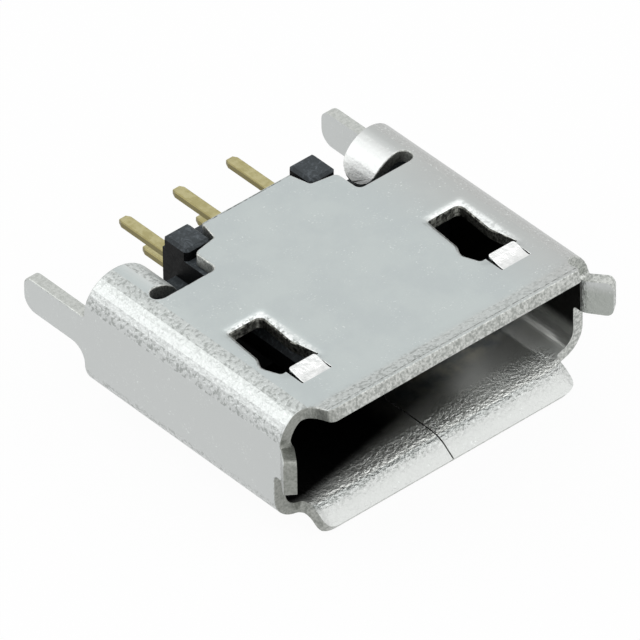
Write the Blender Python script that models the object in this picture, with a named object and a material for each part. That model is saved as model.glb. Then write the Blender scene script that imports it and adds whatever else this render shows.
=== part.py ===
# Upright micro USB socket: a folded sheet-metal shell, a moulded insulator and five contacts.
# It lies with the mouth towards -Y, the latch windows up and the board side towards +Y.
# Every length is in metres; those at the top are written as millimetres times mm.
import math

import bmesh
import bpy
from mathutils import Vector

mm = 0.001

# Shell: the folded cross-section
shell_width = 7.5 * mm
shell_height = 2.65 * mm
sheet = 0.25 * mm
top_bend_outer_radius = 0.74 * mm
low_bend_outer_radius = 0.60 * mm
low_slope_angle = math.radians(15.0)
low_slope_length = 0.35 * mm
slope_bend_outer_radius = 0.50 * mm
seam_gap = 0.03 * mm
die_roll = 0.03 * mm
die_roll_steps = 3

# Shell: edges of the tube, measured along Y from the middle of the windows' area
corner_front = -2.13 * mm
wall_front = -1.98 * mm
wall_rear = 3.25 * mm

# Shell: flares round the mouth, as (radius to mid-sheet, angle)
lip_side_setback = 0.73 * mm
lip_length = 0.62 * mm
lip_side_fillet = 0.34 * mm
lip_corner_radius = 0.12 * mm
lip_bend_radius = 0.90 * mm
lip_angle = math.radians(17.0)
flap_side_setback = 0.77 * mm
flap_root_side_setback = 0.65 * mm
flap_length = 0.61 * mm
flap_start = -2.00 * mm
flap_corner_radius = 0.24 * mm
flap_root_fillet = 0.12 * mm
flap_bend_radius = 0.50 * mm
flap_angle = math.radians(37.0)
side_tab_top = 0.68 * mm
side_tab_height = 0.74 * mm
side_tab_length = 0.59 * mm
side_tab_corner_radius = 0.14 * mm
side_tab_fillet = 0.08 * mm
side_tab_bend_radius = 0.20 * mm
side_tab_angle = math.radians(36.0)

# Shell: latch windows in the top, each with a tab at its front set a little proud
window_side_setback = 1.34 * mm
window_width = 0.76 * mm
window_rear = 0.32 * mm
window_sharp_radius = 0.04 * mm
window_round_radius = 0.13 * mm
window_skew = 0.08 * mm
window_roll_width = 0.13 * mm
window_roll_depth = 0.06 * mm
window_roll_front = -1.02 * mm
window_roll_fade = 0.20 * mm
relief_start = -0.58 * mm
relief_outward = 0.58 * mm
relief_inward = 0.42 * mm
relief_front = -1.20 * mm
relief_radius = 0.20 * mm
latch_width = 0.64 * mm
latch_slit = 0.03 * mm
latch_roll = 0.012 * mm
latch_root = -1.64 * mm
latch_end = -1.19 * mm
latch_corner_radius = 0.06 * mm
latch_rise = 0.085 * mm
latch_angle = math.radians(18.0)

# Shell: rear edge of the top, the curled ears and the board legs
tongue_half_width = 1.06 * mm
tongue_setback = 0.21 * mm
tongue_flare = 0.11 * mm
notch_depth = 0.67 * mm
tooth_width = 0.56 * mm
tooth_drop = 0.10 * mm
tooth_corner_radius = 0.12 * mm
slot_setback = 1.38 * mm
slot_width = 0.34 * mm
slot_side_setback = 0.63 * mm
ear_gap = 0.37 * mm
ear_curl_share = 0.86
ear_setback = 0.22 * mm
ear_corner_radius = 0.42 * mm
leg_top = 0.87 * mm
leg_height = 0.74 * mm
leg_length = 1.67 * mm
leg_low_tip_radius = 0.30 * mm
leg_high_tip_radius = 0.22 * mm
leg_root_fillet = 0.34 * mm
leg_top_fillet = 0.06 * mm

# Shell: dovetail that locks the seam under the body
dovetail_middle = 0.60 * mm
dovetail_reach = 0.42 * mm
dovetail_neck = 0.70 * mm
dovetail_head = 1.05 * mm

# Insulator
insulator_clearance = 0.02 * mm
insulator_front = 1.35 * mm
insulator_shoulder_lead = 0.07 * mm
insulator_shoulder_top = 0.74 * mm
insulator_heel_depth = 0.35 * mm
insulator_core_side = 0.09 * mm
insulator_proud = 0.01 * mm
block_side_gap = 0.04 * mm
block_front_gap = 0.03 * mm
block_top = 0.01 * mm
block_chamfer = 0.06 * mm
bar_half_width = 1.85 * mm
bar_top = 0.65 * mm
bar_thickness = 0.60 * mm
bar_front = -1.25 * mm
bar_chamfer = 0.12 * mm

# Contacts
contact_count = 5
contact_pitch = 0.65 * mm
contact_width = 0.25 * mm
contact_thickness = 0.15 * mm
contact_proud = 0.05 * mm
contact_front = -1.05 * mm
contact_fit = 0.012 * mm
contact_chamfer = 0.02 * mm
contact_bend_radius = 0.16 * mm
contact_jog_inset = 0.40 * mm
contact_jog_length = 0.45 * mm
upper_tail_depth = 0.94 * mm
lower_tail_height = 0.65 * mm
upper_tail_length = 1.73 * mm
lower_tail_length = 1.85 * mm
tail_tip_length = 0.10 * mm
tail_tip_share = 0.70

# Fineness of the curves
arc_step = math.radians(15.0)
bend_steps = 9
small_bend_steps = 5

# Places across the part, from the middle
half_width = shell_width / 2
lip_half_width = half_width - lip_side_setback
flap_half_width = half_width - flap_side_setback
flap_root_half_width = half_width - flap_root_side_setback
window_centre = half_width - window_side_setback
slot_end = half_width - slot_side_setback
notch_half_width = tongue_half_width + tongue_flare
tooth_half_width = notch_half_width + tooth_width
insulator_core_half_width = tooth_half_width + insulator_core_side
block_half_width_inner = notch_half_width + block_side_gap

# Depth under the top, and places along the part from its rear edge
lower_tail_depth = shell_height - lower_tail_height
tongue_rear = wall_rear - tongue_setback
notch_front = wall_rear - notch_depth
slot_front = wall_rear - slot_setback
ear_front = slot_front + slot_width
ear_rear = wall_rear - ear_setback
leg_rear = wall_rear + leg_length
insulator_shoulder_front = slot_front - insulator_shoulder_lead
insulator_shoulder_rear = wall_rear - insulator_heel_depth
insulator_rear = wall_rear + insulator_proud
contact_jog_start = insulator_front + contact_jog_inset

# Lengths of the cross-section, all taken along the middle of the sheet
half_sheet = sheet / 2
top_bend_radius = top_bend_outer_radius - half_sheet
low_bend_radius = low_bend_outer_radius - half_sheet
slope_bend_radius = slope_bend_outer_radius - half_sheet
low_bend_angle = math.pi / 2 - low_slope_angle
slope_drop = low_slope_length * math.sin(low_slope_angle)
wall_low = (
    shell_height
    - low_bend_outer_radius * math.sin(low_bend_angle)
    - slope_drop
    - slope_bend_outer_radius * (1 - math.cos(low_slope_angle))
)
bottom_flat = (
    half_width
    - low_bend_outer_radius * (1 - math.cos(low_bend_angle))
    - low_slope_length * math.cos(low_slope_angle)
    - slope_bend_outer_radius * math.sin(low_slope_angle)
)
# Each section is (length, radius); a radius of None is straight
sections = [
    (half_width - top_bend_outer_radius, None),
    (top_bend_radius * math.pi / 2, top_bend_radius),
    (wall_low - top_bend_outer_radius, None),
    (low_bend_radius * low_bend_angle, low_bend_radius),
    (low_slope_length, None),
    (slope_bend_radius * low_slope_angle, slope_bend_radius),
    (bottom_flat, None),
]
top_flat = sections[0][0]
wall_start = top_flat + sections[1][0]
half_length = sum(length for length, radius in sections)
# The ear is cut from the sheet between the top's tooth and the wall
ear_edge = tooth_half_width + ear_gap
ear_curl_length = ear_curl_share * (wall_start - ear_edge)
ear_curl = ear_curl_length / top_bend_radius
ear_straight = wall_start - ear_edge - ear_curl_length


def on_wall(depth):
    # Sheet length at which the side wall lies this far below the top
    return wall_start + depth - top_bend_outer_radius


def on_bottom(x):
    # Sheet length at which the underside of the right half reaches this x
    return half_length - x


def section_place(length, offset):
    # Point of the cross-section at this length from the top centre, offset outwards
    x = 0.0
    z = -half_sheet
    heading = 0.0
    left = length
    for span, radius in sections:
        step = min(left, span)
        last = left <= span or span is sections[-1][0]
        if last:
            step = left
        if radius is None:
            x += step * math.cos(heading)
            z -= step * math.sin(heading)
        else:
            turned = heading + step / radius
            x += radius * (math.sin(turned) - math.sin(heading))
            z -= radius * (math.cos(heading) - math.cos(turned))
            heading = turned
        left -= step
        if last:
            break
    return x + offset * math.sin(heading), z + offset * math.cos(heading)


def ear_place(length, offset):
    # The ear keeps curling past the top bend and ends in a short straight part
    back = wall_start - length
    turn = min(back / top_bend_radius, ear_curl)
    extra = back - turn * top_bend_radius
    reach = top_bend_radius + offset
    x = top_flat + reach * math.cos(turn) - extra * math.sin(turn)
    z = -top_bend_outer_radius + reach * math.sin(turn) + extra * math.cos(turn)
    return x, z


def rolled(beyond, offset, radius, angle):
    # Sheet rolled towards its positive offset: (distance forward, new offset)
    turn = min(beyond / radius, angle)
    extra = max(beyond - radius * angle, 0.0)
    reach = radius - offset
    forward = reach * math.sin(turn) + extra * math.cos(turn)
    return forward, radius - reach * math.cos(turn) + extra * math.sin(turn)


def stepped(beyond, offset):
    # Latch tab, bent up and level again in two equal arcs: (distance along, new offset)
    heading = max(0.0, latch_angle - abs(beyond / latch_bend_radius - latch_angle))
    forward = latch_bend_radius * math.sin(heading)
    rise = latch_bend_radius * (1 - math.cos(heading))
    if beyond > latch_bend_radius * latch_angle:
        extra = max(beyond - 2 * latch_bend_radius * latch_angle, 0.0)
        forward = 2 * latch_bend_radius * math.sin(latch_angle) - forward + extra
        rise = latch_rise - rise
    return forward - offset * math.sin(heading), rise + offset * math.cos(heading)


latch_bend_radius = latch_rise / 2 / (1 - math.cos(latch_angle))
lip_zone_end = (top_flat + wall_start) / 2
flap_zone_start = on_wall(wall_low)
flares = [
    (0.0, lip_zone_end, corner_front, lip_bend_radius, lip_angle),
    (lip_zone_end, flap_zone_start, corner_front, side_tab_bend_radius, side_tab_angle),
    (flap_zone_start, half_length * 2, flap_start, flap_bend_radius, flap_angle),
]
latch_half = latch_width / 2 + latch_slit / 2


def fold(flat):
    # Takes a point of the flat blank (length, along, height in the sheet) to the folded shell
    side = 1.0 if flat.x >= 0 else -1.0
    length = abs(flat.x)
    along = flat.y
    offset = flat.z - half_sheet
    for start, end, edge, radius, angle in flares:
        if start <= length < end and along < edge:
            forward, offset = rolled(edge - along, offset, radius, angle)
            along = edge - forward
            break
    in_latch = abs(length - window_centre) < latch_half
    if in_latch and latch_root < along < latch_end + latch_slit:
        forward, offset = stepped(along - latch_root, offset)
        along = latch_root + forward
    if along > slot_front + slot_width / 2 and ear_edge - latch_slit < length < wall_start:
        x, z = ear_place(length, offset)
    else:
        x, z = section_place(length, offset)
    return Vector((side * x, along, z))


def rounded(corners):
    # Outline through corners given as (x, y, radius), each radius drawn as an arc
    points = []
    for i, (x, y, radius) in enumerate(corners):
        here = Vector((x, y))
        before = Vector(corners[i - 1][:2]) - here
        after = Vector(corners[(i + 1) % len(corners)][:2]) - here
        turn = math.pi - before.angle(after)
        if radius <= 0 or turn < 0.01:
            points.append(here)
            continue
        room = 0.49 * min(before.length, after.length)
        cut = min(radius * math.tan(turn / 2), room)
        arc_radius = cut / math.tan(turn / 2)
        inward = (before.normalized() + after.normalized()).normalized()
        centre = here + inward * math.hypot(arc_radius, cut)
        start = here + before.normalized() * cut - centre
        end = here + after.normalized() * cut - centre
        steps = max(2, math.ceil(turn / arc_step))
        sweep = start.angle_signed(end)
        for k in range(steps + 1):
            angle = -sweep * k / steps
            turned = Vector((
                start.x * math.cos(angle) - start.y * math.sin(angle),
                start.x * math.sin(angle) + start.y * math.cos(angle),
            ))
            points.append(centre + turned)
    return points


def window_roll(point, narrow, wide):
    # The rolled edge is wide round the window and narrows before it meets the latch tab
    share = min(max((point.y - window_roll_front) / window_roll_fade, 0.0), 1.0)
    return narrow + (wide - narrow) * share * share * (3 - 2 * share)


def inset(points, distances):
    # The same outline moved into the sheet, which lies on its left, by one distance a point
    moved = []
    for i, (point, distance) in enumerate(zip(points, distances)):
        into = (point - points[i - 1]).normalized()
        out = (points[(i + 1) % len(points)] - point).normalized()
        left = Vector((-into.y - out.y, into.x + out.x)).normalized()
        share = max(0.5, left.dot(Vector((-into.y, into.x))))
        moved.append(point + left * distance / share)
    return moved


def mirrored(corners):
    return [(-x, y, radius) for x, y, radius in reversed(corners)]


tab_low = side_tab_top + side_tab_height
lip_edge = corner_front - lip_length
flap_edge = flap_start - flap_length

front_half = [
    (lip_half_width, lip_edge, lip_corner_radius),
    (top_flat + half_sheet / 2, corner_front, lip_side_fillet),
    (on_wall(side_tab_top), corner_front, side_tab_fillet),
    (on_wall(side_tab_top), corner_front - side_tab_length, side_tab_corner_radius),
    (on_wall(tab_low), corner_front - side_tab_length, side_tab_corner_radius),
    (on_wall(tab_low), wall_front, side_tab_fillet),
    (on_bottom(flap_root_half_width), wall_front, flap_root_fillet),
    (on_bottom(flap_half_width), flap_edge, flap_corner_radius),
    (on_bottom(seam_gap / 2), flap_edge, 0),
]
rear_half = [
    (on_bottom(seam_gap / 2), wall_rear, 0),
    (on_wall(leg_top + leg_height), wall_rear, leg_root_fillet),
    (on_wall(leg_top + leg_height), leg_rear, leg_low_tip_radius),
    (on_wall(leg_top), leg_rear, leg_high_tip_radius),
    (on_wall(leg_top), wall_rear, leg_top_fillet),
    (ear_edge, ear_rear, ear_corner_radius),
    (ear_edge, ear_front, ear_corner_radius),
    (slot_end, ear_front, slot_width / 2),
    (slot_end, slot_front, slot_width / 2),
    (tooth_half_width, slot_front, tooth_corner_radius),
    (tooth_half_width, notch_front - tooth_drop, tooth_corner_radius),
    (notch_half_width, notch_front, tooth_corner_radius / 2),
    (tongue_half_width, tongue_rear, tooth_corner_radius / 3),
]

# The dovetail grows from the right half; the left half has the socket, one gap larger all round
neck = dovetail_neck / 2
head = dovetail_head / 2
reach = dovetail_reach + seam_gap / 2
spread = (head - neck) / reach
slant_gap = seam_gap * math.hypot(reach, head - neck) / reach
socket_neck = neck + spread * seam_gap + slant_gap
socket_head = head + spread * seam_gap + slant_gap
dovetail = [
    (on_bottom(seam_gap / 2), dovetail_middle - neck, seam_gap),
    (on_bottom(-dovetail_reach), dovetail_middle - head, seam_gap),
    (on_bottom(-dovetail_reach), dovetail_middle + head, seam_gap),
    (on_bottom(seam_gap / 2), dovetail_middle + neck, seam_gap),
]
socket = [
    (-on_bottom(seam_gap / 2), dovetail_middle + socket_neck, seam_gap),
    (-on_bottom(dovetail_reach + seam_gap), dovetail_middle + socket_head, seam_gap),
    (-on_bottom(dovetail_reach + seam_gap), dovetail_middle - socket_head, seam_gap),
    (-on_bottom(seam_gap / 2), dovetail_middle - socket_neck, seam_gap),
]
blank = front_half + dovetail + rear_half
blank += mirrored(rear_half) + socket + mirrored(front_half)

slit_half = latch_width / 2 + latch_slit
# Both windows have the same outline, relative to their centres and clockwise seen from above
window = [
    (-window_width / 2, window_rear, window_sharp_radius),
    (window_width / 2, window_rear, window_round_radius),
    (window_width / 2 - window_skew, relief_start, window_round_radius),
    (relief_inward, relief_front, latch_slit / 2),
    (slit_half, relief_front, latch_slit / 2),
    (slit_half, latch_root, latch_slit / 2),
    (latch_width / 2, latch_root, latch_slit / 2),
    (latch_width / 2, latch_end, latch_corner_radius),
    (-latch_width / 2, latch_end, latch_corner_radius),
    (-latch_width / 2, latch_root, latch_slit / 2),
    (-slit_half, latch_root, latch_slit / 2),
    (-slit_half, relief_front, latch_slit / 2),
    (-relief_outward + relief_radius / 2, relief_front, relief_radius),
    (-relief_outward, relief_start - relief_radius, relief_radius),
    (-window_width / 2 - window_skew, relief_start, relief_radius),
]


def window_outline(side):
    # Runs clockwise seen from above, so that the sheet is again on its left
    return [(side * window_centre + x, y, radius) for x, y, radius in window]


def add_ring(bm, points, heights):
    return [bm.verts.new((point.x, point.y, z)) for point, z in zip(points, heights)]


def join_rings(bm, lower, upper):
    for i in range(len(lower)):
        bm.faces.new((lower[i - 1], lower[i], upper[i], upper[i - 1]))


def fill_rings(bm, rings):
    edges = []
    for ring in rings:
        for i in range(len(ring)):
            edges.append(bm.edges.get((ring[i - 1], ring[i])))
    bmesh.ops.triangle_fill(bm, use_beauty=True, use_dissolve=False, edges=edges)


def cut_along(bm, axis, value, keep=None):
    # Puts an edge line across the flat blank, so that it can bend there
    normal = Vector((0, 0, 0))
    normal[axis] = 1
    faces = [face for face in bm.faces if keep is None or keep(face)]
    edges = {edge for face in faces for edge in face.edges}
    verts = {vert for face in faces for vert in face.verts}
    bmesh.ops.bisect_plane(
        bm,
        geom=list(verts) + list(edges) + faces,
        dist=1e-5 * mm,
        plane_co=normal * value,
        plane_no=normal,
    )


def finish(name, bm, material, smooth_below=math.radians(32.0)):
    bmesh.ops.recalc_face_normals(bm, faces=bm.faces)
    mesh = bpy.data.meshes.new(name)
    bm.to_mesh(mesh)
    bm.free()
    mesh.shade_smooth()
    mesh.set_sharp_from_angle(angle=smooth_below)
    if material:
        mesh.materials.append(material)
    obj = bpy.data.objects.new(name, mesh)
    bpy.context.scene.collection.objects.link(obj)
    return obj


def surface(name, colour, roughness, metallic):
    material = bpy.data.materials.new(name)
    material.use_nodes = True
    shader = material.node_tree.nodes["Principled BSDF"]
    shader.inputs["Base Color"].default_value = (*colour, 1.0)
    shader.inputs["Roughness"].default_value = roughness
    shader.inputs["Metallic"].default_value = metallic
    return material


def bend_lines(start, radius, angle, steps):
    return [start + radius * angle * k / steps for k in range(steps + 1)]


def bend_stops():
    # Sheet lengths where the cross-section changes, from the top centre to the seam
    stops = []
    start = 0.0
    for length, radius in sections:
        steps = 1
        if radius is not None:
            steps = bend_steps if length > 2 * sheet else small_bend_steps
        stops += [start + length * k / steps for k in range(steps)]
        start += length
    return stops + [start]


def make_shell(material):
    bm = bmesh.new()
    outlines = []
    for corners in (blank, window_outline(-1), window_outline(1)):
        points = rounded(corners)
        widths = [die_roll] * len(points)
        depths = widths
        if corners is not blank:
            widths = [window_roll(point, latch_roll, window_roll_width) for point in points]
            depths = [window_roll(point, latch_roll, window_roll_depth) for point in points]
        levels = [(points, [0.0] * len(points))]
        for k in range(die_roll_steps + 1):
            turn = math.pi / 2 * k / die_roll_steps
            inward = inset(points, [width * (1 - math.cos(turn)) for width in widths])
            levels.append((inward, [sheet - depth * (1 - math.sin(turn)) for depth in depths]))
        outlines.append(levels)
    inner_rings = []
    outer_rings = []
    for levels in outlines:
        rings = [add_ring(bm, points, heights) for points, heights in levels]
        for lower, upper in zip(rings, rings[1:]):
            join_rings(bm, lower, upper)
        inner_rings.append(rings[0])
        outer_rings.append(rings[-1])
    # Filling needs points well apart, so the blank grows to a metre per millimetre for it
    bmesh.ops.scale(bm, vec=Vector((1, 1, 1)) / mm, verts=bm.verts)
    fill_rings(bm, inner_rings)
    fill_rings(bm, outer_rings)
    bmesh.ops.scale(bm, vec=Vector((1, 1, 1)) * mm, verts=bm.verts)
    for line in bend_stops()[1:-1]:
        cut_along(bm, 0, line)
        cut_along(bm, 0, -line)
    # The ear's own bend lines, kept behind the slot
    step = top_bend_radius * math.pi / 2 / bend_steps
    line = top_flat - step
    while line > ear_edge + ear_straight:
        for side in (1, -1):
            cut_along(bm, 0, side * line, lambda face: max(v.co.y for v in face.verts) > ear_front)
        line -= step
    for side in (1, -1):
        stop = side * (ear_edge + ear_straight)
        cut_along(bm, 0, stop, lambda face: max(v.co.y for v in face.verts) > ear_front)
    for start, end, edge, radius, angle in flares:
        for line in bend_lines(0.0, radius, angle, small_bend_steps):
            cut_along(
                bm, 1, edge - line,
                lambda face: max(abs(v.co.x) for v in face.verts) > start
                and min(abs(v.co.x) for v in face.verts) < end,
            )
    for line in bend_lines(latch_root, latch_bend_radius, 2 * latch_angle, 2 * small_bend_steps):
        cut_along(
            bm, 1, line,
            lambda face: min(abs(abs(v.co.x) - window_centre) for v in face.verts) < latch_half,
        )
    for vert in bm.verts:
        vert.co = fold(vert.co)
    return finish("shell", bm, material)


def extrude_outline(points, depth):
    # Closed outline of 3D points carried along Y by this depth
    bm = bmesh.new()
    front = [bm.verts.new(point) for point in points]
    rear = [bm.verts.new(point + Vector((0, depth, 0))) for point in points]
    join_rings(bm, front, rear)
    bm.faces.new(front)
    bm.faces.new(list(reversed(rear)))
    return bm


def box(x, y, z, chamfer=0.0):
    # Box between two values on each axis, all its edges cut back by the chamfer
    bm = bmesh.new()
    bmesh.ops.create_cube(bm, size=1)
    for vert in bm.verts:
        vert.co = Vector(
            (low + high) / 2 + share * (high - low)
            for share, (low, high) in zip(vert.co, (x, y, z))
        )
    if chamfer > 0:
        bmesh.ops.bevel(bm, geom=bm.edges[:], offset=chamfer, segments=1, affect="EDGES")
    return bm


def helper(name, bm):
    # Shape used only by a Boolean
    obj = finish(name, bm, None)
    obj.hide_render = True
    obj.display_type = "WIRE"
    return obj


def combine(obj, name, operation, other):
    modifier = obj.modifiers.new(name, "BOOLEAN")
    modifier.operation = operation
    modifier.solver = "EXACT"
    modifier.object = other


def contact_x(index):
    return (index - (contact_count - 1) / 2) * contact_pitch


def contact_path(index):
    # Middle line in Y and Z: along the bar, a slanted step inside the body, then the tail
    tail = -lower_tail_depth if index % 2 else -upper_tail_depth
    rear = wall_rear + (lower_tail_length if index % 2 else upper_tail_length)
    bar = -(bar_top + bar_thickness + contact_proud - contact_thickness / 2)
    corners = [
        (contact_front, bar, 0),
        (contact_jog_start, bar, contact_bend_radius),
        (contact_jog_start + contact_jog_length, tail, contact_bend_radius),
        (rear, tail, 0),
    ]
    return rounded(corners)


def sweep_strip(bm, x, path, half_width, half_thickness, chamfer, tip_length=0.0):
    # Carries a chamfered rectangle along the path and narrows it over the tip
    section = [
        (half_width - chamfer, -half_thickness), (half_width, chamfer - half_thickness),
        (half_width, half_thickness - chamfer), (half_width - chamfer, half_thickness),
        (chamfer - half_width, half_thickness), (-half_width, half_thickness - chamfer),
        (-half_width, chamfer - half_thickness), (chamfer - half_width, -half_thickness),
    ]
    stations = [(point, 1.0) for point in path]
    if tip_length > 0:
        end = path[-1]
        stations[-1] = (end - Vector((tip_length, 0)), 1.0)
        stations.append((end, tail_tip_share))
    rings = []
    for i, (point, share) in enumerate(stations):
        before = stations[max(i - 1, 0)][0]
        after = stations[min(i + 1, len(stations) - 1)][0]
        along = (after - before).normalized()
        normal = Vector((-along.y, along.x))
        ring = []
        for across, up in section:
            place = point + normal * up * share
            ring.append(bm.verts.new((x + across * share, place.x, place.y)))
        rings.append(ring)
    for lower, upper in zip(rings, rings[1:]):
        join_rings(bm, lower, upper)
    bm.faces.new(rings[0])
    bm.faces.new(list(reversed(rings[-1])))


def make_contact(index, material):
    bm = bmesh.new()
    sweep_strip(
        bm, contact_x(index), contact_path(index),
        contact_width / 2, contact_thickness / 2, contact_chamfer, tail_tip_length,
    )
    return finish(f"contact_{index + 1}", bm, material)


def make_insulator(material):
    inner = -half_sheet - insulator_clearance
    right = [section_place(length, inner) for length in bend_stops()]
    left = [(-x, z) for x, z in reversed(right[1:-1])]
    outline = [Vector((x, insulator_front, z)) for x, z in right + left]
    body = finish("insulator", extrude_outline(outline, insulator_rear - insulator_front), material)

    past = shell_width
    wings = []
    for side in (-1, 1):
        outer = sorted((side * insulator_core_half_width, side * past))
        above = (-insulator_shoulder_top, past)
        wings.append(("shoulder", outer, (insulator_shoulder_front, past), above))
        wings.append(("heel", outer, (insulator_shoulder_rear, past), (-past, past)))
    for kind, x, y, z in wings:
        combine(body, kind, "DIFFERENCE", helper(f"cut_{kind}", box(x, y, z)))

    for side in (-1, 1):
        x = sorted((side * block_half_width_inner, side * insulator_core_half_width))
        y = (notch_front + block_front_gap, insulator_rear)
        z = (-2 * sheet, -block_top)
        combine(body, "block", "UNION", helper("rear_block", box(x, y, z, block_chamfer)))

    x = (-bar_half_width, bar_half_width)
    y = (bar_front, insulator_front + bar_thickness)
    z = (-bar_top - bar_thickness, -bar_top)
    combine(body, "bar", "UNION", helper("contact_bar", box(x, y, z, bar_chamfer)))

    channels = bmesh.new()
    for index in range(contact_count):
        path = contact_path(index)
        ahead = Vector((contact_thickness, 0))
        sweep_strip(
            channels, contact_x(index), [path[0] - ahead] + path[1:],
            contact_width / 2 + contact_fit, contact_thickness / 2 + contact_fit, contact_chamfer,
        )
    combine(body, "channels", "DIFFERENCE", helper("contact_channels", channels))
    return body


for obj in list(bpy.data.objects):
    bpy.data.objects.remove(obj, do_unlink=True)

plated_steel = surface("plated_steel", (0.60, 0.61, 0.60), 0.32, 1.0)
black_polymer = surface("black_polymer", (0.025, 0.027, 0.030), 0.55, 0.0)
gold_plate = surface("gold_plate", (0.72, 0.60, 0.28), 0.30, 1.0)

shell = make_shell(plated_steel)
insulator = make_insulator(black_polymer)
contacts = [make_contact(index, gold_plate) for index in range(contact_count)]

# Everything hangs on one empty, which puts the middle of the underside at the origin
points = [vert.co for obj in [shell] + contacts for vert in obj.data.vertices]
front = min(point.y for point in points)
rear = max(point.y for point in points)
frame = bpy.data.objects.new("socket", None)
frame.location = (0, -(front + rear) / 2, -min(point.z for point in points))
bpy.context.scene.collection.objects.link(frame)
for obj in bpy.data.objects:
    if obj is not frame:
        obj.parent = frame
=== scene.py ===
import math

import bpy
from mathutils import Matrix, Vector
from mathutils.bvhtree import BVHTree


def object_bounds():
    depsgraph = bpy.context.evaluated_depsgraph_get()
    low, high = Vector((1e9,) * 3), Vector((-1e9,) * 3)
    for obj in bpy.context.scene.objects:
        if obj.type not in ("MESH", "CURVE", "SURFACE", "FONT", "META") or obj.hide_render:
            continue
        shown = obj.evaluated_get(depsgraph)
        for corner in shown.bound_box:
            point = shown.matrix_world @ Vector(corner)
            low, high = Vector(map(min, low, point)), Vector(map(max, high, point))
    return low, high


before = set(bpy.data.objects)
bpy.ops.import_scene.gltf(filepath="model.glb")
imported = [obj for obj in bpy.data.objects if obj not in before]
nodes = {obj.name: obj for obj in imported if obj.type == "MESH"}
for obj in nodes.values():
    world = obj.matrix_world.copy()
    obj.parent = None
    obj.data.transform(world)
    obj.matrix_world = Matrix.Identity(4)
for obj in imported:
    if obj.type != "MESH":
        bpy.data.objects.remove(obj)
cadLow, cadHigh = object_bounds()
mm = 0.001
contactNames = sorted(name for name in nodes if name.startswith("contact"))
print("frame loaded:", len(nodes), "nodes")


def hexColour(code):
    # sRGB hex to the linear values that shaders use
    values = []
    for i in (1, 3, 5):
        v = int(code[i:i + 2], 16) / 255
        values.append(v / 12.92 if v <= 0.04045 else ((v + 0.055) / 1.055) ** 2.4)
    return (*values, 1.0)


def addNode(tree, kind, settings=None, links=None, out=0):
    # lower-case keys are properties of the node, other keys and numbers are its sockets
    node = tree.nodes.new("ShaderNode" + kind)
    for key, value in (settings or {}).items():
        if isinstance(key, str) and key[0].islower():
            setattr(node, key, value)
        else:
            node.inputs[key].default_value = value
    for key, socket in (links or {}).items():
        tree.links.new(socket, node.inputs[key])
    return node.outputs[out] if node.outputs else node


def ramp(limits, results=(0.0, 1.0), soft=True):
    # settings of a step from one result to the other between two limits
    return {
        "interpolation_type": "SMOOTHSTEP" if soft else "LINEAR",
        "From Min": limits[0],
        "From Max": limits[1],
        "To Min": results[0],
        "To Max": results[1],
    }


def pastAll(tree, *steps):
    # 1 where every measure is past its soft ramp, 0 where any one of them isn't
    share = None
    for measure, limits in steps:
        past = addNode(tree, "MapRange", ramp(limits), {0: measure})
        if share is not None:
            past = addNode(tree, "Math", {"operation": "MULTIPLY"}, {0: share, 1: past})
        share = past
    return share


def layTones(tree, first, *layers):
    # the first tone and, over it, each further one as thick as its share
    colour = first
    for share, tone in layers:
        settings = {"data_type": "RGBA"}
        links = {0: share}
        for socket, value in ((6, colour), (7, tone)):
            if isinstance(value, str):
                settings[socket] = hexColour(value)
            else:
                links[socket] = value
        colour = addNode(tree, "Mix", settings, links, out=2)
    return colour


def startMaterial(name):
    # an empty material, and where on the part a point of its surface is: its place in
    # millimetres, its distance out from the middle, and how much it faces each axis
    material = bpy.data.materials.new(name)
    material.use_nodes = True
    tree = material.node_tree
    tree.nodes.clear()
    metres = addNode(tree, "TexCoord", out="Object")
    place = addNode(tree, "VectorMath", {"operation": "SCALE", "Scale": 1 / mm}, {0: metres})
    normal = addNode(tree, "TexCoord", out="Normal")
    facing = addNode(tree, "VectorMath", {"operation": "ABSOLUTE"}, {0: normal})
    at = {"place": place, "normal": normal}
    for axis in range(3):
        at["xyz"[axis]] = addNode(tree, "SeparateXYZ", links={0: place}, out=axis)
        at["facing" + "XYZ"[axis]] = addNode(tree, "SeparateXYZ", links={0: facing}, out=axis)
    at["out"] = addNode(tree, "Math", {"operation": "ABSOLUTE"}, {0: at["x"]})
    return material, tree, at


def endMaterial(tree, settings, colour, rough, height):
    # one shader; the relief arrives in micrometres
    bump = addNode(tree, "Bump", {"Strength": 1.0, "Distance": mm * mm}, {"Height": height})
    links = {"Base Color": colour, "Roughness": rough, "Normal": bump}
    shader = addNode(tree, "BsdfPrincipled", settings, links)
    addNode(tree, "OutputMaterial", links={"Surface": shader})


noiseSpan = (0.3, 0.7)  # a noise pattern seldom leaves these values
orangePeel = {"Detail": 3.0, "Roughness": 0.55, "Distortion": 0.3}  # crinkles of stretched sheet

# The floor of the mouth starts to droop before the flap: one relief that goes on from the inner
# skin to the plate, so that light rolls over the bend
flapRoot = {
    "along": (-2.6, -3.7),   # mm
    "across": (3.45, 3.30),  # mm from the middle
    "up": (1.3, 1.0),        # mm, below which it works
    "drop": 140.0,           # micrometres
}


def drooped(tree, at, height):
    share = pastAll(
        tree,
        (at["y"], flapRoot["along"]), (at["out"], flapRoot["across"]), (at["z"], flapRoot["up"]),
    )
    return addNode(
        tree, "Math", {"operation": "MULTIPLY_ADD", 1: -flapRoot["drop"]}, {0: share, 2: height},
    )


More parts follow.
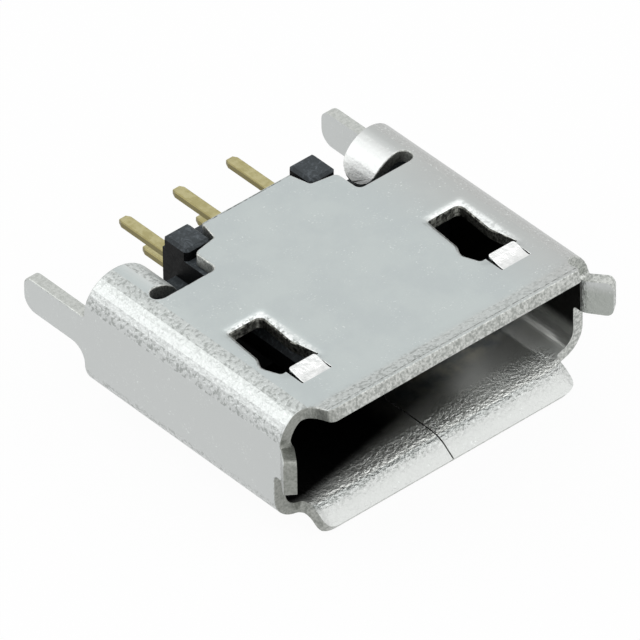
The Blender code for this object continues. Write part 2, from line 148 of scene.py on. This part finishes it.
# Satin nickel plate on stamped steel: pale and cool, with blurred reflections, crinkled where it
# was bent
plate = {
    "colour": "#C0C7C6",
    "worn": "#BBC2C2",
    "cloud": 0.9,                # mm, soft clouds of handling
    "cloudRange": (0.35, 0.65),
    "speck": "#E0E4E2",
    "speckSize": 0.045,          # mm; true specks are finer, drawn as coarse as shows
    "speckRange": (0.60, 0.72),
    "speckShare": 0.8,
    "patch": 0.4,                # mm, the specks come in patches, and along the bends they are painted glints
    "patchRange": (0.45, 0.7),
    "wall": "#C6C9C8",           # painted reflection: the walls are tinted warmer by the surround they face
    "wallTurn": (0.5, 0.95),     # facing across
    "far": "#B7B8B6",            # painted shade: darker towards the right edge
    "farRange": (1.4, 3.9),      # mm across
    "bend": "#C2C6C4",
    "bendTurn": (0.9985, 0.96),  # bent sheet faces no axis squarely
    "crest": "#D8DCDA",          # painted highlight along the crest of each bend
    "crestTurn": (0.78, 0.90),   # facing one axis, where the crest ends
    "ear": "#ECEEED",            # painted highlight where the curled ears face the light
    "earLeft": "#C3C7C5",        # the left one less so
    "earAlong": (0.75, 1.1),     # mm
    "earAcross": (1.85, 2.35),   # mm from the middle
    "earEnd": (3.1, 2.6),
    "earUp": (1.9, 2.3),
    "leftSide": (0.1, -0.1),     # mm across
    "pit": "#8D918E",            # painted shade in the crinkles along the sides of the bends
    "pitRange": (0.54, 0.36),
    "pitShare": 0.75,
    "pitLeft": (0.4, -0.6),      # mm across, they show on the left half
    "pitFront": (-3.2, -3.4),    # mm along, and less on the lip
    "pitFrontShare": 0.6,
    # painted shade: the flap is a darker copy of the plate tone
    "flap": "#BBBDBB",
    "flapAlong": (-3.28, -3.50),  # mm
    "lowUp": (2.2, 1.9),         # mm, below the lip
    "highUp": (1.9, 2.2),        # mm, on the top
    "tab": "#A8ACA7",            # darker on the right side tab
    "tabAcross": (3.35, 3.55),   # mm
    "score": "#5F625F",          # lines scored by the edges of the tools
    "scoreAlong": (-3.76, 1.836),  # mm, on the lip and at the rear edge of the top
    "scoreAcross": ((3.30, 3.20), (1.30, 1.22)),  # mm from the middle, where each ends
    "scoreHalf": 0.018,          # mm, half the width of a line
    "scoreCore": 0.3,            # share of that which is fully dark
    "scoreBreaks": 9.0,          # per mm
    "breakRange": (0.42, 0.55),
    "window": ((2.41, -1.61, 0), (0.38, 0.76, 0)),  # mm, middle and half size
    "windowRim": 0.22,           # mm, the sheet is drawn down round the windows
    "windowDrop": 52.0,          # micrometres
    "levelTurn": (0.5, 0.9),     # facing up
    "halo": "#E9ECEB",           # painted highlight on the rear and +X sides of the windows
    "haloSide": (0.0, 0.5),
    "haloRange": (0.25, 0.9),
    "haloFlecks": (0.40, 0.58),  # broken up by the crinkles
    "haloLeast": 0.35,
    "roughness": (0.33, 0.44),
    "bendRoughness": 0.34,
    "earRoughness": 0.55,
    "grain": 0.03,               # mm
    "grainHeight": 0.6,          # micrometres
    "crinkle": 0.075,            # mm, orange peel where the sheet was stretched
    "crinkleHeight": 25.0,       # micrometres
    "earCrinkle": 0.40,          # share of that on the ears
    "flapCrinkle": 0.45,         # and on the flap
    "flapCalm": (-3.35, -3.65),  # mm along
}
# The latch tabs are burnished and crumpled by their punch, and their near-white tones add a painted
# highlight on their bends
latchPlate = {
    **plate,
    "colour": "#F4F5F4",
    "worn": "#D6D8D7",
    "far": "#F0F1F0",
    "ear": "#F2F3F2",
    "earLeft": "#F2F3F2",
    "pit": "#E2E4E3",
    "bend": "#F2F3F2",
    "crest": "#F2F3F2",
    "cloud": 0.16,
    "roughness": (0.14, 0.26),
    "bendRoughness": 0.2,
    "crinkle": 0.16,
    "crinkleHeight": 42.0,
    "windowDrop": 0.0,
}


def windowRim(tree, at, look):
    # distance from the windows, 0 to 1; how near they are; and the sides of their rims with a
    # painted highlight
    mirrored = addNode(tree, "CombineXYZ", links={0: at["out"], 1: at["y"]})
    middle, half = look["window"]
    offset = addNode(tree, "VectorMath", {"operation": "SUBTRACT", 1: middle}, {0: mirrored})
    gap = addNode(tree, "VectorMath", {"operation": "ABSOLUTE"}, {0: offset})
    gap = addNode(tree, "VectorMath", {"operation": "SUBTRACT", 1: half}, {0: gap})
    gap = addNode(tree, "VectorMath", {"operation": "MAXIMUM", 1: (0, 0, 0)}, {0: gap})
    gap = addNode(tree, "VectorMath", {"operation": "LENGTH"}, {0: gap}, out="Value")
    gap = addNode(tree, "MapRange", ramp((0.0, look["windowRim"])), {0: gap})
    near = addNode(tree, "Math", {"operation": "SUBTRACT", 0: 1.0}, {1: gap})
    level = addNode(tree, "MapRange", ramp(look["levelTurn"], soft=False), {0: at["facingZ"]})
    near = addNode(tree, "Math", {"operation": "MULTIPLY"}, {0: near, 1: level})
    # the rear side, and the same side across in both windows, which counts double
    sign = addNode(tree, "Math", {"operation": "SIGN"}, {0: at["x"]})
    across = addNode(tree, "SeparateXYZ", links={0: offset}, out=0)
    across = addNode(tree, "Math", {"operation": "MULTIPLY"}, {0: sign, 1: across})
    behind = addNode(tree, "SeparateXYZ", links={0: offset}, out=1)
    side = addNode(tree, "Math", {"operation": "MULTIPLY_ADD", 1: 2.0}, {0: across, 2: behind})
    halo = pastAll(tree, (side, look["haloSide"]), (near, look["haloRange"]))
    return gap, near, halo


def scoredLines(tree, at, look):
    # broken lines across the top of the sheet
    half = look["scoreHalf"]
    lines = []
    for spot, ends in zip(look["scoreAlong"], look["scoreAcross"]):
        gap = addNode(tree, "Math", {"operation": "SUBTRACT", 1: spot}, {0: at["y"]})
        gap = addNode(tree, "Math", {"operation": "ABSOLUTE"}, {0: gap})
        width = ramp((half, half * look["scoreCore"]), soft=False)
        line = addNode(tree, "MapRange", width, {0: gap})
        length = addNode(tree, "MapRange", ramp(ends, soft=False), {0: at["out"]})
        lines.append(addNode(tree, "Math", {"operation": "MULTIPLY"}, {0: line, 1: length}))
    score = addNode(tree, "Math", {"operation": "MAXIMUM"}, {0: lines[0], 1: lines[1]})
    pattern = {"Scale": look["scoreBreaks"], "Detail": 4.0, "Roughness": 0.8}
    broken = addNode(tree, "TexNoise", pattern, {0: at["place"]})
    broken = addNode(tree, "MapRange", ramp(look["breakRange"], soft=False), {0: broken})
    score = addNode(tree, "Math", {"operation": "MULTIPLY"}, {0: score, 1: broken})
    high = addNode(tree, "MapRange", ramp(look["highUp"]), {0: at["z"]})
    return addNode(tree, "Math", {"operation": "MULTIPLY"}, {0: score, 1: high})


def makePlate(name, look):
    material, tree, at = startMaterial(name)
    x, y, z, place = at["x"], at["y"], at["z"], at["place"]
    largest = addNode(
        tree, "Math", {"operation": "MAXIMUM"}, {0: at["facingX"], 1: at["facingY"]},
    )
    largest = addNode(tree, "Math", {"operation": "MAXIMUM"}, {0: largest, 1: at["facingZ"]})
    bent = addNode(tree, "MapRange", ramp(look["bendTurn"]), {0: largest})
    # the crest of each bend carries a painted highlight
    flank = addNode(tree, "MapRange", ramp(look["crestTurn"]), {0: largest})
    flank = addNode(tree, "Math", {"operation": "MULTIPLY"}, {0: flank, 1: bent})
    crest = addNode(tree, "Math", {"operation": "SUBTRACT"}, {0: bent, 1: flank})
    gap, near, halo = windowRim(tree, at, look)
    curled = pastAll(
        tree, (y, look["earAlong"]), (at["out"], look["earAcross"]), (at["out"], look["earEnd"]),
        (z, look["earUp"]),
    )
    worked = addNode(tree, "Math", {"operation": "MAXIMUM"}, {0: bent, 1: near})
    worked = addNode(tree, "Math", {"operation": "MAXIMUM"}, {0: worked, 1: curled})

    pattern = {"Scale": 1 / look["crinkle"], **orangePeel}
    peel = addNode(tree, "TexNoise", pattern, {0: place})
    fleck = ramp(look["haloFlecks"], (look["haloLeast"], 1.0))
    fleck = addNode(tree, "MapRange", fleck, {0: peel})
    halo = addNode(tree, "Math", {"operation": "MULTIPLY"}, {0: halo, 1: fleck})
    # painted shade on the flanks of the bends, beside the highlight
    pit = ramp(look["pitRange"], (0.0, look["pitShare"]))
    pit = addNode(tree, "MapRange", pit, {0: peel})
    pit = addNode(tree, "Math", {"operation": "MULTIPLY"}, {0: pit, 1: flank})
    left = addNode(tree, "MapRange", ramp(look["pitLeft"]), {0: x})
    front = ramp(look["pitFront"], (0.0, look["pitFrontShare"]))
    front = addNode(tree, "MapRange", front, {0: y})
    dirty = addNode(tree, "Math", {"operation": "MAXIMUM"}, {0: left, 1: front})
    pit = addNode(tree, "Math", {"operation": "MULTIPLY"}, {0: pit, 1: dirty})

    pattern = {"Scale": 1 / look["cloud"], "Detail": 5.0, "Roughness": 0.65}
    cloud = addNode(tree, "TexNoise", pattern, {0: place})
    cloud = addNode(tree, "MapRange", ramp(look["cloudRange"]), {0: cloud})
    pattern = {"Scale": 1 / look["speckSize"], "Detail": 2.0}
    speck = addNode(tree, "TexNoise", pattern, {0: place})
    bright = ramp(look["speckRange"], (0.0, look["speckShare"]), soft=False)
    speck = addNode(tree, "MapRange", bright, {0: speck})
    pattern = {"Scale": 1 / look["patch"], "Detail": 2.0}
    patch = addNode(tree, "TexNoise", pattern, {0: place})
    patch = addNode(tree, "MapRange", ramp(look["patchRange"]), {0: patch})
    # along the flanks of the bends the specks are painted glints
    patch = addNode(tree, "Math", {"operation": "MAXIMUM"}, {0: patch, 1: flank})
    speck = addNode(tree, "Math", {"operation": "MULTIPLY"}, {0: speck, 1: patch})
    # painted shade towards the right edge
    far = addNode(tree, "MapRange", ramp(look["farRange"]), {0: x})
    # painted reflection on the walls, by how much they face across
    wall = addNode(tree, "MapRange", ramp(look["wallTurn"]), {0: at["facingX"]})
    # the painted highlight is weaker on the left ear
    leftEar = addNode(tree, "MapRange", ramp(look["leftSide"], soft=False), {0: x})
    leftEar = addNode(tree, "Math", {"operation": "MULTIPLY"}, {0: leftEar, 1: curled})
    flap = pastAll(tree, (y, look["flapAlong"]), (z, look["lowUp"]))
    tab = pastAll(tree, (x, look["tabAcross"]), (y, look["flapAlong"]), (z, look["lowUp"]))
    colour = layTones(
        tree, look["worn"],
        (cloud, look["colour"]), (bent, look["bend"]), (crest, look["crest"]), (far, look["far"]),
        (wall, look["wall"]), (halo, look["halo"]), (curled, look["ear"]),
        (leftEar, look["earLeft"]), (flap, look["flap"]), (tab, look["tab"]),
        (speck, look["speck"]), (pit, look["pit"]), (scoredLines(tree, at, look), look["score"]),
    )

    pattern = {"Scale": 1 / look["grain"], "Detail": 2.0, "Roughness": 0.7}
    grain = addNode(tree, "TexNoise", pattern, {0: place})
    rough = addNode(tree, "MapRange", ramp(noiseSpan, look["roughness"], soft=False), {0: grain})
    rough = addNode(tree, "Mix", {3: look["bendRoughness"]}, {0: worked, 2: rough})
    rough = addNode(tree, "Mix", {3: look["earRoughness"]}, {0: curled, 2: rough})

    onFlap = addNode(tree, "MapRange", ramp(look["flapCalm"], (1.0, look["flapCrinkle"])), {0: y})
    onEar = ramp((0.0, 1.0), (1.0, look["earCrinkle"]), soft=False)
    onEar = addNode(tree, "MapRange", onEar, {0: curled})
    for share in (onFlap, onEar, worked):
        peel = addNode(tree, "Math", {"operation": "MULTIPLY"}, {0: peel, 1: share})
    height = addNode(tree, "Math", {"operation": "MULTIPLY", 1: look["crinkleHeight"]}, {0: peel})
    for part, scale in ((grain, look["grainHeight"]), (gap, look["windowDrop"])):
        height = addNode(
            tree, "Math", {"operation": "MULTIPLY_ADD", 1: scale}, {0: part, 2: height},
        )
    height = drooped(tree, at, height)
    endMaterial(tree, {"Metallic": 1.0}, colour, rough, height)
    return material


# Inside the closed tube the skin is painted dull and dark as shade,
# and painted light brightens it towards the mouth.
innerSkin = {
    # painted shade deep inside the tube
    "deep": "#141414",
    # painted reflection, brighter towards the right
    "right": "#F2F1E4",
    "rightAcross": (-0.7, 3.0),   # mm
    "rightAlong": (-0.7, -1.9),   # mm, the painted reflection ends this deep inside
    "stain": "#9FA8AD",
    "stainSize": 1.1,             # mm
    "stainRange": (0.4, 0.65),
    # painted shade on the inner walls
    "wall": "#2C2C2A",
    "wallTurn": (0.8, 0.98),      # facing across
    # painted light where the floor of the mouth turns into the flap
    "root": "#ECEEEA",
    "rootAlong": (-2.35, -2.85),  # mm
    "rootSlant": -0.2,            # the bright zone reaches deeper on the right
    "rootUp": (1.15, 0.75),       # mm, the walls stay dark
    "crinkle": 0.075,             # mm
    "crinkleAlong": (-2.60, -3.00),
    "crinkleAcross": (3.2, 2.85),  # no crinkles where the sheet slopes up at the sides
    "crinkleLeast": 0.03,         # share of them deep inside
    "height": 36.0,               # micrometres
    "roughness": (0.42, 0.6),
    "rootRoughness": 0.42,
}


def makeInnerSkin(name, look):
    material, tree, at = startMaterial(name)
    x, y, z, place = at["x"], at["y"], at["z"], at["place"]
    pattern = {"Scale": 1 / look["stainSize"], "Detail": 4.0, "Roughness": 0.6}
    stain = addNode(tree, "TexNoise", pattern, {0: place})
    stain = addNode(tree, "MapRange", ramp(look["stainRange"]), {0: stain})
    right = layTones(tree, look["right"], (stain, look["stain"]))
    bright = pastAll(tree, (x, look["rightAcross"]), (y, look["rightAlong"]))
    wall = addNode(tree, "MapRange", ramp(look["wallTurn"]), {0: at["facingX"]})
    slant = addNode(tree, "Math", {"operation": "MULTIPLY_ADD", 1: look["rootSlant"]}, {0: x, 2: y})
    root = pastAll(tree, (slant, look["rootAlong"]), (z, look["rootUp"]))
    colour = layTones(
        tree, look["deep"], (bright, right), (wall, look["wall"]), (root, look["root"]),
    )
    pattern = {"Scale": 1 / look["crinkle"], **orangePeel}
    peel = addNode(tree, "TexNoise", pattern, {0: place})
    rough = addNode(tree, "MapRange", ramp(noiseSpan, look["roughness"], soft=False), {0: peel})
    rough = addNode(tree, "Mix", {3: look["rootRoughness"]}, {0: root, 2: rough})
    along = ramp(look["crinkleAlong"], (look["crinkleLeast"], 1.0))
    along = addNode(tree, "MapRange", along, {0: y})
    across = addNode(tree, "MapRange", ramp(look["crinkleAcross"]), {0: at["out"]})
    height = addNode(tree, "Math", {"operation": "MULTIPLY", 1: look["height"]}, {0: peel})
    for share in (along, across):
        height = addNode(tree, "Math", {"operation": "MULTIPLY"}, {0: height, 1: share})
    height = drooped(tree, at, height)
    endMaterial(tree, {"Metallic": 1.0}, colour, rough, height)
    return material


# Sheared steel edge: pale grey and grainy, with faint streaks across the thickness of the sheet
shear = {
    "bright": "#CFD1CD",
    "dark": "#9C9F9B",
    "markRange": (0.40, 0.60),
    "left": "#83857F",          # darker at the left corner of the mouth
    "leftAcross": (-2.6, -3.3),  # mm
    "leftAlong": (-2.9, -3.2),  # mm
    "leftShare": 0.75,
    "legs": "#C2C5C1",          # the sheared edges of the legs are lighter
    "legAlong": (1.9, 2.4),     # mm
    "legShare": 0.65,
    "fleck": 0.055,             # mm
    "streak": 0.05,             # mm between streaks
    "streakLength": 0.6,        # mm
    "streakShare": 0.25,
    "wallStart": (3.0, 3.5),    # mm from the middle, where the sheet turns upright
    "roughness": (0.5, 0.34),
    "height": 3.0,              # micrometres
}
# Punched window: the sheet broke off rather than sheared, which leaves it rough; its dark tone is
# also painted shade from the interior it faces, and its bright flecks are painted glints
punched = {
    **shear,
    "bright": "#9C9D96",
    "dark": "#2E2E2C",
    "fleck": 0.10,
    "roughness": (0.6, 0.28),
    "height": 8.0,
}
# Inside of the folded seam: painted shade, so it stays nearly black
seamEdge = {
    **shear,
    "bright": "#2A2A29",
    "dark": "#0E0E0E",
}


def makeShear(name, look):
    material, tree, at = startMaterial(name)
    fine = 1 / look["streak"]
    slow = 1 / look["streakLength"]
    streaks = []
    for scale in ((fine, fine, slow), (slow, fine, fine)):  # on level sheet, on upright sheet
        drawn = {"operation": "MULTIPLY", 1: scale}
        drawn = addNode(tree, "VectorMath", drawn, {0: at["place"]})
        streaks.append(addNode(tree, "TexNoise", {"Scale": 1.0, "Detail": 2.0}, {0: drawn}))
    upright = addNode(tree, "MapRange", ramp(look["wallStart"]), {0: at["out"]})
    streak = addNode(tree, "Mix", {}, {0: upright, 2: streaks[0], 3: streaks[1]})
    pattern = {"Scale": 1 / look["fleck"], "Detail": 3.0, "Roughness": 0.6}
    fleck = addNode(tree, "TexNoise", pattern, {0: at["place"]})
    marks = addNode(tree, "Mix", {0: look["streakShare"]}, {2: fleck, 3: streak})
    marks = addNode(tree, "MapRange", ramp(look["markRange"], soft=False), {0: marks})
    left = addNode(tree, "MapRange", ramp(look["leftAcross"]), {0: at["x"]})
    front = ramp(look["leftAlong"], (0.0, look["leftShare"]))
    front = addNode(tree, "MapRange", front, {0: at["y"]})
    left = addNode(tree, "Math", {"operation": "MULTIPLY"}, {0: left, 1: front})
    legs = ramp(look["legAlong"], (0.0, look["legShare"]))
    legs = addNode(tree, "MapRange", legs, {0: at["y"]})
    colour = layTones(
        tree, look["dark"], (marks, look["bright"]), (left, look["left"]), (legs, look["legs"]),
    )
    rough = ramp((0.0, 1.0), look["roughness"], soft=False)
    rough = addNode(tree, "MapRange", rough, {0: marks})
    height = addNode(tree, "Math", {"operation": "MULTIPLY", 1: look["height"]}, {0: marks})
    endMaterial(tree, {"Metallic": 1.0}, colour, rough, height)
    return material


# Black moulded polymer with glass fibre: near black, matte, with a fine spark-eroded grain
moulding = {
    "top": "#3F4447",
    "side": "#0C0D0E",
    "topTurn": (0.2, 0.9),   # facing up; the top is painted lighter than the sides, as light from above
    "light": "#60666B",      # painted highlight on fibres near the surface, on the top only
    "lightRange": (0.44, 0.74),
    "fibre": 0.13,           # mm
    "grain": 0.035,          # mm
    "height": 4.0,           # micrometres
    "roughness": (0.42, 0.62),
    "specular": 0.1,
}


def makeMoulding(name, look):
    material, tree, at = startMaterial(name)
    pattern = {"Scale": 1 / look["grain"], "Detail": 3.0, "Roughness": 0.6}
    grain = addNode(tree, "TexNoise", pattern, {0: at["place"]})
    pattern = {"Scale": 1 / look["fibre"], "Detail": 4.0, "Roughness": 0.65, "Distortion": 1.2}
    fibre = addNode(tree, "TexNoise", pattern, {0: at["place"]})
    up = addNode(tree, "SeparateXYZ", links={0: at["normal"]}, out=2)
    level = addNode(tree, "MapRange", ramp(look["topTurn"]), {0: up})
    light = addNode(tree, "MapRange", ramp(look["lightRange"]), {0: fibre})
    light = addNode(tree, "Math", {"operation": "MULTIPLY"}, {0: light, 1: level})
    colour = layTones(tree, look["side"], (level, look["top"]), (light, look["light"]))
    rough = addNode(tree, "MapRange", ramp(noiseSpan, look["roughness"], soft=False), {0: fibre})
    height = addNode(tree, "Math", {"operation": "MULTIPLY", 1: look["height"]}, {0: grain})
    endMaterial(tree, {"Specular IOR Level": look["specular"]}, colour, rough, height)
    return material


# Gold flash on rolled copper alloy: pale greenish gold, satin, rolling lines along the strip.
# The stamped sides take less gold and stay darker.
gold = {
    "colour": "#BAB388",
    "deep": "#AAA274",
    "cloud": 0.16,           # mm
    "cloudRange": (0.38, 0.62),
    "side": "#807852",
    "sideTurn": (0.3, 0.9),  # facing across
    "roughness": (0.36, 0.5),
    "line": 0.025,           # mm between rolling lines
    "lineLength": 0.9,       # mm
    "height": 2.0,           # micrometres
}


def makeGold(name, look):
    material, tree, at = startMaterial(name)
    fine = 1 / look["line"]
    slow = 1 / look["lineLength"]
    drawn = {"operation": "MULTIPLY", 1: (fine, slow, fine)}
    drawn = addNode(tree, "VectorMath", drawn, {0: at["place"]})
    line = addNode(tree, "TexNoise", {"Scale": 1.0, "Detail": 2.0}, {0: drawn})
    pattern = {"Scale": 1 / look["cloud"], "Detail": 4.0, "Roughness": 0.6}
    cloud = addNode(tree, "TexNoise", pattern, {0: at["place"]})
    cloud = addNode(tree, "MapRange", ramp(look["cloudRange"]), {0: cloud})
    side = addNode(tree, "MapRange", ramp(look["sideTurn"]), {0: at["facingX"]})
    colour = layTones(tree, look["deep"], (cloud, look["colour"]), (side, look["side"]))
    rough = addNode(tree, "MapRange", ramp(noiseSpan, look["roughness"], soft=False), {0: line})
    height = addNode(tree, "Math", {"operation": "MULTIPLY", 1: look["height"]}, {0: line})
    endMaterial(tree, {"Metallic": 1.0}, colour, rough, height)
    return material


shading = {
    "smoothBelow": 32.0,  # degrees, gentler edges are shaded as curves
    "flatWeight": 50,     # how strictly flats stay flat next to a curve
}


def dress(obj, finishes, finishOf=None):
    # puts the finishes on a CAD node and shades its curves smooth
    mesh = obj.data
    mesh.materials.clear()
    for material in finishes.values():
        mesh.materials.append(material)
    mesh.shade_smooth()
    mesh.set_sharp_from_angle(angle=math.radians(shading["smoothBelow"]))
    slots = {finish: slot for slot, finish in enumerate(finishes)}
    counts = dict.fromkeys(finishes, 0)
    for polygon in mesh.polygons:
        finish = finishOf(polygon) if finishOf else next(iter(finishes))
        polygon.material_index = slots[finish]
        counts[finish] += 1
    weighted = obj.modifiers.new("flatFaces", "WEIGHTED_NORMAL")
    weighted.mode = "FACE_AREA"
    weighted.weight = shading["flatWeight"]
    weighted.keep_sharp = True
    print("dressed", obj.name, counts)


# How a face of the shell is told from its surroundings
sheetTest = {
    "thickness": 0.25,  # mm
    "lift": 0.01,       # rays start off the face by this share of the thickness
    "solid": 1.25,      # with more metal behind it than this, a face is a cut edge
    "away": 3.0,        # an opposite wall further off than this is across the tube
}
# Zones of the shell that were worked differently, in mm: from the middle, along and up
zones = {
    "window": ((1.9, 2.95), (-2.45, -0.75), (2.4, 3.1)),
    "latch": ((2.05, 2.77), (-2.83, -2.34), (2.7, 3.1)),
    "seam": ((0.0, 0.7), (-3.4, 2.2), (0.0, 0.9)),
    "legs": ((0.0, 5.0), (2.1, 5.0), (0.0, 3.1)),
    "cavity": ((0.0, 3.49), (-3.33, 2.1), (0.45, 1.2)),  # its lower bends look out of the windows
}
shell = nodes["shell"]
shellTree = BVHTree.FromPolygons(
    [v.co for v in shell.data.vertices], [tuple(p.vertices) for p in shell.data.polygons],
)


def inZone(zone, place):
    values = (abs(place.x), place.y, place.z)
    return all(low < value / mm < high for value, (low, high) in zip(values, zones[zone]))


def shellFinish(polygon):
    # Looking into the metal from a cut edge, the far side is further off than the sheet is thick.
    # Looking out from the tube's inner skin, the opposite wall is in the way.
    sheet = sheetTest["thickness"] * mm
    place = polygon.center
    outward = polygon.normal
    lift = outward * sheet * sheetTest["lift"]
    hit, _, _, depth = shellTree.ray_cast(place - lift, -outward)
    if hit is not None and depth > sheet * sheetTest["solid"]:
        if inZone("latch", place):
            return "latch"
        if inZone("window", place):
            return "windowEdge"
        return "seam" if inZone("seam", place) else "edge"
    hit, faced, _, depth = shellTree.ray_cast(place + lift, outward)
    opposite = hit is not None and faced.dot(outward) < 0 and depth > sheet * sheetTest["away"]
    if (opposite or inZone("cavity", place)) and not inZone("legs", place):
        return "inside"
    return "latch" if inZone("latch", place) else "plate"


shellFinishes = {
    "plate": makePlate("satinNickelPlate", plate),
    "edge": makeShear("shearedSteelEdge", shear),
    "windowEdge": makeShear("punchedSteelEdge", punched),
    "seam": makeShear("bareSteelSeam", seamEdge),
    "inside": makeInnerSkin("dullNickelInside", innerSkin),
    "latch": makePlate("burnishedNickelLatch", latchPlate),
}
dress(shell, shellFinishes, shellFinish)
dress(nodes["insulator"], {"moulded": makeMoulding("mouldedFibrePolymer", moulding)})
goldFlash = makeGold("goldFlashOnCopperAlloy", gold)
for name in contactNames:
    dress(nodes[name], {"gold": goldFlash})

# Studio: white floor and surround, with large soft lights behind to the left, in front to the
# right and above
studio = {
    "floorColour": "#F4F4F4",
    "floorRoughness": 0.9,
    "floorWhite": 0.95,  # share of the floor that shows pure white, the rest keeps the shadow
    "floorHalf": 3.0,    # m
    "worldStrength": 0.75,
    "lights": [
        # name, direction from the object, distance in m, side in m, strength in W
        ("backLeftLight", (-0.63, 0.59, 0.51), 1.0, 0.76, 1.5),
        ("frontRightLight", (0.51, -0.44, 0.74), 1.0, 0.8, 1.5),
        ("topLight", (0.0, 0.1, 1.0), 1.2, 0.9, 1.0),
    ],
}


def makeFloor():
    # matte white paper: no gloss, almost lost in the white surround, with a faint soft shadow
    half = studio["floorHalf"]
    mesh = bpy.data.meshes.new("floor")
    corners = [(-half, -half, 0), (half, -half, 0), (half, half, 0), (-half, half, 0)]
    mesh.from_pydata(corners, [], [(0, 1, 2, 3)])
    floor = bpy.data.objects.new("floor", mesh)
    bpy.context.scene.collection.objects.link(floor)
    material = bpy.data.materials.new("matteWhitePaper")
    material.use_nodes = True
    tree = material.node_tree
    tree.nodes.clear()
    settings = {
        "Base Color": hexColour(studio["floorColour"]), "Roughness": studio["floorRoughness"],
    }
    paper = addNode(tree, "BsdfPrincipled", settings)
    white = addNode(tree, "Emission", {"Strength": 1.0})
    share = addNode(
        tree, "Math", {"operation": "MULTIPLY", 1: studio["floorWhite"]}, {0: directlySeen(tree)},
    )
    both = addNode(tree, "MixShader", {}, {0: share, 1: paper, 2: white})
    addNode(tree, "OutputMaterial", {}, {"Surface": both})
    mesh.materials.append(material)
    return floor


def directlySeen(tree):
    # one for what the camera sees, also in metal and through glass
    seen = addNode(tree, "LightPath", out="Is Camera Ray")
    for ray in ("Is Glossy Ray", "Is Transmission Ray"):
        other = addNode(tree, "LightPath", out=ray)
        seen = addNode(tree, "Math", {"operation": "MAXIMUM"}, {0: seen, 1: other})
    return seen


def makeWorld():
    world = bpy.data.worlds.new("whiteSurround")
    world.use_nodes = True
    tree = world.node_tree
    tree.nodes.clear()
    strength = ramp((0.0, 1.0), (studio["worldStrength"], 1.0), soft=False)
    strength = addNode(tree, "MapRange", strength, {0: directlySeen(tree)})
    back = addNode(tree, "Background", {"Color": (1, 1, 1, 1)}, {"Strength": strength})
    addNode(tree, "OutputWorld", {}, {"Surface": back})
    bpy.context.scene.world = world


def makeLights():
    made = []
    middle = (cadLow + cadHigh) / 2
    for name, direction, distance, side, power in studio["lights"]:
        data = bpy.data.lights.new(name, "AREA")
        data.shape = "SQUARE"
        data.size = side
        data.energy = power
        lamp = bpy.data.objects.new(name, data)
        away = Vector(direction).normalized()
        lamp.location = middle + away * distance
        lamp.rotation_euler = away.to_track_quat("Z", "Y").to_euler()
        bpy.context.scene.collection.objects.link(lamp)
        made.append(lamp)
    return made


floor = makeFloor()
makeWorld()
lamps = makeLights()
print("studio built")

# Camera: a long lens from the front left and above
cameraSettings = {
    "azimuth": -41.157,    # degrees
    "elevation": 38.937,
    "roll": -0.675,
    "lens": 792.3,         # mm
    "sensor": 36.0,        # mm wide
    "distance": 254.65 * mm,
    "clip": (0.01, 10.0),  # m
    "target": Vector((-0.832, -1.098, 2.269)) * mm,
}


def makeCamera():
    data = bpy.data.cameras.new("photoCamera")
    data.sensor_width = cameraSettings["sensor"]
    data.lens = cameraSettings["lens"]
    data.clip_start, data.clip_end = cameraSettings["clip"]
    camera = bpy.data.objects.new("photoCamera", data)
    turn = (
        Matrix.Rotation(math.radians(cameraSettings["azimuth"]), 4, "Z")
        @ Matrix.Rotation(math.radians(90 - cameraSettings["elevation"]), 4, "X")
        @ Matrix.Rotation(math.radians(cameraSettings["roll"]), 4, "Z")
    )
    back = turn.to_3x3() @ Vector((0, 0, 1))
    camera.matrix_world = (
        Matrix.Translation(cameraSettings["target"] + back * cameraSettings["distance"]) @ turn
    )
    bpy.context.scene.collection.objects.link(camera)
    bpy.context.scene.camera = camera


makeCamera()
bpy.context.scene.view_settings.view_transform = "Standard"
print("camera placed")
